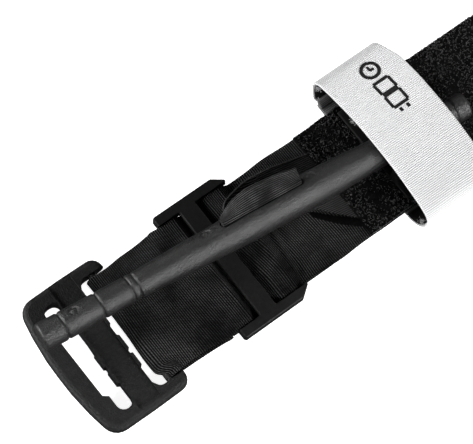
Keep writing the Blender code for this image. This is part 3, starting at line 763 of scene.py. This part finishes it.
def make_rod():
    """The rod, turned with its marks pressed in, and its slot cut through."""
    out = ROD_LEVEL * math.sin(ROD_SLOT_ROLL) + UP * math.cos(ROD_SLOT_ROLL)
    across = np.cross(out, ROD_ALONG)
    sides = 96
    first, last = ROD_ENDS
    place = np.concatenate([
        first + 1.0 - np.cos(np.linspace(0, math.pi / 2, 9)[:-1]),
        np.linspace(first + 1.0, last - 1.0, 560),
        last - 1.0 + np.cos(np.linspace(math.pi / 2, 0, 9)[1:]),
    ])
    turn = np.arange(sides) * 2 * math.pi / sides
    plain = rod_radius(place)[:, None]
    radius = np.repeat(plain, sides, axis=1)
    for mark, mark_turn in ROD_MARKS:
        du = place[:, None] - mark
        wrapped = (turn[None, :] - math.radians(mark_turn) + math.pi) % (2 * math.pi) - math.pi
        dv = wrapped * plain
        distance = np.sqrt(du**2 + dv**2)
        crescent = 0.5 + 0.5 * np.clip(0.3 - dv / 1.2, -1, 1)
        ring = np.exp(-(((distance - MARK_RADIUS) / MARK_WIDTH) ** 2))
        radius = radius - MARK_DEPTH * ring * crescent
    round_it = out * np.cos(turn)[:, None] - across * np.sin(turn)[:, None]
    points = ROD_MIDDLE + ROD_ALONG * place[:, None, None] + round_it[None] * radius[..., None]
    rows = len(place)
    index = np.arange(rows * sides).reshape(rows, sides)
    following = np.roll(index, -1, axis=1)
    faces = np.stack([index[:-1], following[:-1], following[1:], index[1:]], axis=-1)
    faces = faces.reshape(-1, 4).tolist()
    ends = [ROD_MIDDLE + ROD_ALONG * end for end in ROD_ENDS]
    points = np.concatenate([points.reshape(-1, 3), ends])
    for centre, row in ((rows * sides, index[0]), (rows * sides + 1, index[-1])):
        faces += [[centre, int(a), int(b)] for a, b in zip(row, np.roll(row, -1))]
    rod = make_mesh("rod", points, faces, ROD_PLASTIC, sharp=50)
    half = ROD_SLOT_WIDTH / 2
    reach = ROD_SLOT_LENGTH / 2 - half
    outline = arc((ROD_SLOT_CENTRE + reach, 0.0), half, -90, 90, 16)
    outline += arc((ROD_SLOT_CENTRE - reach, 0.0), half, 90, 270, 16)
    cut = []
    for side in (-9.0, 9.0):
        cut += [ROD_MIDDLE + ROD_ALONG * a + across * b + out * side for a, b in outline]
    n = len(outline)
    walls = [[k, (k + 1) % n, n + (k + 1) % n, n + k] for k in range(n)]
    faces = [list(range(n)), list(range(n, 2 * n)), *walls]
    cutter = make_mesh("rod_slot_cutter", np.array(cut), faces, ROD_PLASTIC)
    slot_cut = rod.modifiers.new("slot", "BOOLEAN")
    slot_cut.object = cutter
    slot_cut.operation = "DIFFERENCE"
    slot_cut.solver = "EXACT"
    apply_modifiers(rod)
    bpy.data.objects.remove(cutter)
    finish_piece(rod, "rod_plastic", "windlass_rod")
    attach(rod, "windlass")


def apply_modifiers(obj):
    evaluated = obj.evaluated_get(bpy.context.evaluated_depsgraph_get())
    mesh = bpy.data.meshes.new_from_object(evaluated)
    obj.modifiers.clear()
    mesh.shade_smooth()
    mesh.set_sharp_from_angle(angle=math.radians(40))
    obj.data = mesh


# The closing strap.


def arch_route():
    """The strap's middle, as (y, z): from under the band, round its root, over the rod and down."""
    points = [(-20.0, 0.45), (-23.2, 1.5), (-25.2, 3.4), (-26.1, 5.6), (-26.75, 8.2), (-26.6, 10.4)]
    points += [(-24.6, 12.7), (-20.0, 14.4), (-10.0, 16.5), (0.0, 17.05), (10.0, 16.5), (20.0, 14.4)]
    points += [(24.8, 12.7), (26.9, 10.2), (27.0, 7.4), (26.2, 4.4), (25.2, 2.0)]
    return smooth_route(points, 10)


def blend_strap(obj):
    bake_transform(obj)


def round_corner(middle):
    """Draws in the strap's far corner at +X, where its free end is cut round."""
    out = (middle[:, :, 0] - STRAP_MIDDLE_X) / STRAP_HALF
    middle[:, :, 0] -= 1.6 * ease((middle[:, :, 1] - 17.0) / 9.0) * ease(out)


def make_strap():
    """The white strap's upper run, with its weave's relief, and its lower run under the band."""
    middle, cloth = swept(arch_route(), STRAP_HALF, 40, 0.12, "YZ", STRAP_MIDDLE_X)
    u, v = cloth[:, :, 0], cloth[:, :, 1]
    middle[:, :, 2] += 0.12 * smooth_noise(u, v, 9.0, 31) * ease((middle[:, :, 2] - 6) / 5)
    round_corner(middle)
    u = u + 0.08 * smooth_noise(u, v, 3.0, 21) + 0.25 * smooth_noise(u, v, 11.0, 22)
    cloth = np.stack([u, v], axis=-1)
    relief = 0.05 * np.cos(2 * math.pi * u / WHITE_RIB)
    arch = thick_sheet("strap_upper", middle, cloth, -0.15, 0.6, WHITE_WEAVE, relief, 0.5)
    finish_piece(arch, "white_webbing", "strap_arch")
    blend_strap(arch)
    low = smooth_route([(-19.9, 0.45), (20.0, 0.45), (22.3, 1.2), (23.6, 2.3), (24.2, 3.6)], 10)
    middle, cloth = swept(low, STRAP_HALF, 30, 0.25, "YZ", STRAP_MIDDLE_X)
    round_corner(middle)
    base = thick_sheet("strap_lower", middle, cloth, -0.42, 0.42, LOWER_WEAVE, 0.0, 0.4)
    finish_piece(base, "white_webbing", "strap_base")
    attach(base, "band")


def lining_strip(name, route, nodes=()):
    middle, cloth = swept(route, STRAP_HALF - 0.1, 36, 0.3, "YZ", STRAP_MIDDLE_X)
    round_corner(middle)
    u, v = cloth[:, :, 0], cloth[:, :, 1]
    proud = 0.1 * smooth_noise(u, v, 0.4, 41)
    obj = thick_sheet(name, middle, cloth, -0.95, -0.2, HOOK_BLACK, proud, 0.3)
    finish_piece(obj, "black_hook_lining", *nodes)
    return obj


def make_lining():
    """The black hook lining inside the strap: its free half, and the rest down to the root."""
    route = arch_route()
    split = next(place for place, point in enumerate(route) if point[0] > 9.0)
    obj = lining_strip("lining_free_end", route[split:], ("hook_lining",))
    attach(obj, "time_strap")
    obj = lining_strip("lining_root", route[:split + 1])
    blend_strap(obj)


def make_fibres():
    """Cut ends of hook and edge threads that catch the light on the strap's edge at -X.

    Each spot is (y, z, spread, count).
    """
    spots = ((26.3, 9.8, 1.6, 90), (9.6, 15.4, 1.0, 24), (-26.3, 6.0, 2.2, 90), (25.2, 3.2, 1.0, 30))
    paths = []
    radii = []
    for y, z, spread, count in spots:
        for _ in range(count):
            start = np.array([
                STRAP_LOW[0] + RANDOM.uniform(-0.1, 0.8), y + RANDOM.normal(0, spread * 0.5),
                z + RANDOM.normal(0, spread * 0.6),
            ])
            heading = np.array([RANDOM.uniform(-1.0, 0.1), RANDOM.normal(0, 0.8), RANDOM.normal(0.1, 0.8)])
            heading /= np.linalg.norm(heading)
            curl = np.array([RANDOM.normal(0, 0.35), RANDOM.normal(0, 0.35), RANDOM.normal(0, 0.35)])
            size = RANDOM.uniform(0.3, 0.9)
            paths.append([start + heading * size * t + curl * size * t * t for t in np.linspace(0, 1, 5)])
            radii.append(RANDOM.uniform(0.035, 0.07))
    obj = tubes("cut_fibres", paths, np.array(radii)[:, None], HOOK_FIBRE)
    blend_strap(obj)


# The printed mark: a clock's ring and hands, and empty boxes for the hour and the minute.


def on_arch(distance, offset):
    """(y, z) on the strap's outer side, at a distance along its route from the top."""
    route, lengths = even_route(arch_route(), 0.1)
    peak = lengths[np.argmax(route[:, 1])]
    return beside(route, lengths, left_of(route), peak + np.asarray(distance), offset)


def ink_line(points, width, closed=False):
    """The two edges of one printed line, from (x, distance) points along its middle."""
    points = np.asarray(points, float)
    if closed:
        along = np.roll(points, -1, axis=0) - np.roll(points, 1, axis=0)
    else:
        along = np.gradient(points, axis=0)
    along /= np.linalg.norm(along, axis=1)[:, None]
    side = np.column_stack([-along[:, 1], along[:, 0]]) * width / 2
    return points + side, points - side


def make_mark():
    """The print, as thin raised lines: each is its middle's points, its width and if it closes."""
    x0, ring_at = PRINT_X, PRINT_RING_AT
    angles = np.linspace(0, 2 * math.pi, 49)[:-1]
    ring = np.column_stack([x0 + PRINT_HALF * np.sin(angles), ring_at + PRINT_HALF * np.cos(angles)])
    lines = [
        (ring, 1.05, True),
        (np.array([(x0, ring_at - 0.2), (x0, ring_at + 0.8), (x0, ring_at + 1.6)]), 0.8, False),
        (np.array([(x0 - 0.2, ring_at), (x0 + 0.8, ring_at), (x0 + 1.3, ring_at)]), 0.8, False),
    ]

    def frame_lines(first, last):
        low, high = x0 - PRINT_HALF, x0 + PRINT_HALF
        down = np.linspace(first, last, 10)
        over = np.linspace(low, high, 10)
        for x in (low, high):
            lines.append((np.column_stack([np.full_like(down, x), down]), 0.95, False))
        for place in (first + 0.2, last - 0.2):
            lines.append((np.column_stack([over, np.full_like(over, place)]), 0.95, False))

    frame_lines(14.6, 10.6)
    frame_lines(9.4, 5.4)
    for x in (x0 - 1.2, x0 + 1.4):
        lines.append((np.array([(x - 0.5, 3.6), (x, 3.6), (x + 0.5, 3.6)]), 1.2, False))
    points, faces = [], []
    for path, width, closed in lines:
        left, right = ink_line(path, width, closed)
        n = len(path)
        start = len(points)
        for offset in (0.72, 0.5):
            for edge in (left, right):
                y, z = on_arch(edge[:, 1], offset)
                points.extend(zip(edge[:, 0], y, z))
        a, b, c, d = (start + k * n for k in range(4))
        last = n if closed else n - 1
        for k in range(last):
            m = (k + 1) % n
            faces += [[a + k, b + k, b + m, a + m], [c + k, c + m, d + m, d + k]]
            faces += [[a + k, a + m, c + m, c + k], [b + k, d + k, d + m, b + m]]
        if not closed:
            faces += [[a, c, d, b], [a + n - 1, b + n - 1, d + n - 1, c + n - 1]]
    obj = make_mesh("time_mark", np.array(points), faces, INK)
    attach(obj, "time_strap")


# Stitching.


def stitch_rows():
    """Running stitches along both edges of the band's backing, each sunk in at its two ends."""
    route, u = even_route(band_route(BACKING_START_X + 3.0), 0.25)
    normal = left_of(route)
    sunk = np.array([0.34, 0.12, 0.08, 0.12, 0.34])
    paths = []
    for start in np.arange(1.0, u[-1] - 4.0, STITCH_PITCH):
        x, z = beside(route, u, normal, np.linspace(start, start + STITCH_LENGTH, 5), sunk)
        for side in (-1, 1):
            paths.append(np.column_stack([x, np.full(5, side * STITCH_ROW_Y), z]))
    return np.array(paths)


def make_stitches():
    obj = tubes("edge_stitches", stitch_rows(), 0.13, THREAD, 6)
    blend_tail(obj)


def zigzag(low, high, z, long_in_x):
    """A dense zigzag of thread over a rectangle that is long in x, or else in y."""
    pitch = 0.55
    on, over = (0, 1) if long_in_x else (1, 0)
    share = np.linspace(0, 1, 6)
    paths = []
    for k, place in enumerate(np.arange(low[on], high[on], pitch)):
        drift = share if k % 2 == 0 else share[::-1]
        thread = np.empty((len(share), 3))
        thread[:, on] = place + pitch * 0.7 * drift
        thread[:, over] = low[over] + (high[over] - low[over]) * drift
        thread[:, 2] = z + 0.2 * np.sin(math.pi * share) - 0.05
        paths.append(thread)
    return np.array(paths)


def make_tacks():
    for name in ("clip_tack_left", "clip_tack_right", "tip_tack"):
        low, high = box_mm(name)
        long_in_x = high[0] - low[0] > high[1] - low[1]
        obj = tubes(name + "_stitching", zigzag(low, high, low[2] + 0.12, long_in_x), 0.2, THREAD, 6)
        finish_piece(obj, "black_thread", name)
        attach(obj, "tail" if name == "tip_tack" else "band")


def make_tip():
    """The band's sewn end: the layers closed into one rounded, ribbed tongue."""
    low, high = box_mm("tail_tip")
    rows, columns = 60, 90
    share = np.linspace(-1, 1, columns)[None, :]
    place = np.linspace(0, 1, rows)[:, None]
    corner = 4.0
    inset = np.clip((corner - place * (high[0] - low[0])) / corner, 0, 1)
    half = BAND_HALF - 0.1 - corner * (1 - np.sqrt(1 - inset**2))
    x = np.repeat(low[0] + place * (high[0] - low[0]), columns, axis=1)
    y = share * half
    z = np.full_like(x, (low[2] + high[2]) / 2)
    middle = np.stack([x, y, z], axis=-1)
    cloth = np.stack([x, y], axis=-1)
    thick = (high[2] - low[2]) / 2
    relief = 0.05 * np.cos(2 * math.pi * x / WEB_RIB)
    obj = thick_sheet("tip", middle, cloth, -thick + 0.1, thick - 0.1, WEBBING, relief, 1.2)
    finish_piece(obj, "black_webbing", "tail_tip")
    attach(obj, "tail")


# Moulded pieces that keep their CAD shape.


def carry_over(node, material):
    """Gives a CAD piece that stays as it is its finish."""
    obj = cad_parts[node]
    if not obj.material_slots:
        obj.data.materials.append(material)
    for slot in obj.material_slots:
        slot.material = material


# The room, the light and the camera.


def make_room():
    """A white table with a glow of its own, a dim world and plain colour management."""
    nodes = Nodes("studio_floor")
    cloudy = nodes.ramp(nodes.noise(nodes.place(), 3.0, 2.0), 0.3, 0.7, 0.0, 1.0)
    colour = nodes.mix(cloudy, grey(0.86), grey(0.9))
    floor_material = nodes.surface(Base_Color=colour, Roughness=0.9, Emission_Color=grey(1.0))
    nodes.shader.inputs["Emission Strength"].default_value = 0.9
    size = 3000.0
    corners = [(-size, -size, -0.06), (size, -size, -0.06), (size, size, -0.06), (-size, size, -0.06)]
    mesh = bpy.data.meshes.new("studio_floor")
    mesh.from_pydata([tuple(c * MM for c in corner) for corner in corners], [], [(0, 1, 2, 3)])
    mesh.materials.append(floor_material)
    floor = bpy.data.objects.new("studio_floor", mesh)
    bpy.context.scene.collection.objects.link(floor)
    floor.visible_glossy = False  # its reflection would line every dark edge with white
    world = bpy.data.worlds.new("studio")
    world.use_nodes = True
    background = world.node_tree.nodes["Background"]
    background.inputs["Color"].default_value = (1.0, 1.0, 1.0, 1.0)
    background.inputs["Strength"].default_value = 0.05
    bpy.context.scene.world = world
    bpy.context.scene.view_settings.view_transform = "Standard"
    bpy.context.scene.view_settings.look = "None"
    bpy.context.scene.view_settings.exposure = 0.0
    bpy.context.scene.view_settings.gamma = 1.0


def soft_box(name, direction, distance, size, power):
    """A rectangular light at a distance from the origin, which it faces; lengths in metres."""
    data = bpy.data.lights.new(name, "AREA")
    data.shape = "RECTANGLE"
    data.size, data.size_y = size
    data.energy = power
    light = bpy.data.objects.new(name, data)
    heading = Vector(direction).normalized()
    light.location = heading * distance
    light.rotation_euler = heading.to_track_quat("Z", "Y").to_euler()
    bpy.context.scene.collection.objects.link(light)


def make_lights():
    soft_box("key_light", (0.30, -0.80, 0.56), 0.9, (0.9, 0.16), 15.2)
    soft_box("front_light", (-0.5, -0.7, 0.5), 1.0, (0.9, 0.5), 2.0)
    soft_box("back_light", (-0.80, 0.60, 0.30), 1.0, (1.2, 0.3), 25.0)
    soft_box("far_light", (0.75, 0.45, 0.50), 0.9, (0.4, 0.4), 1.2)


def make_camera():
    """The fitted camera: its direction and roll in degrees, its distance and target in mm."""
    azimuth, elevation, roll = (math.radians(a) for a in (-49.553, 69.120, 12.888))
    distance, target = 630.01, Vector((-5.526, 8.433, 0.0))
    ahead = Vector((math.sin(azimuth), -math.cos(azimuth), 0.0))
    back = ahead * math.cos(elevation) + Vector((0.0, 0.0, math.sin(elevation)))
    up = -ahead * math.sin(elevation) + Vector((0.0, 0.0, math.cos(elevation)))
    right = up.cross(back)
    across = right * math.cos(roll) + up * math.sin(roll)
    upward = -right * math.sin(roll) + up * math.cos(roll)
    camera = bpy.data.objects.new("camera", bpy.data.cameras.new("camera"))
    camera.data.lens = 162.36
    camera.data.sensor_width = 36.0
    camera.data.clip_start = 0.01
    camera.data.clip_end = 20.0
    turn = Matrix((across, upward, back)).transposed().to_4x4()
    camera.matrix_world = Matrix.Translation((target + back * distance) * MM) @ turn
    bpy.context.scene.collection.objects.link(camera)
    bpy.context.scene.camera = camera


make_room()
make_lights()
make_camera()
make_webbing()
make_band()
make_pile_loops()
make_ribbon_sheet()
make_fold_shadow()
make_half_moon()
make_rod()
make_strap()
make_lining()
make_fibres()
make_mark()
make_stitches()
make_tacks()
make_tip()
carry_over("buckle_frame", BUCKLE_PLASTIC)
carry_over("threading_plate", PLATE_PLASTIC)
carry_over("windlass_clip", PLATE_PLASTIC)
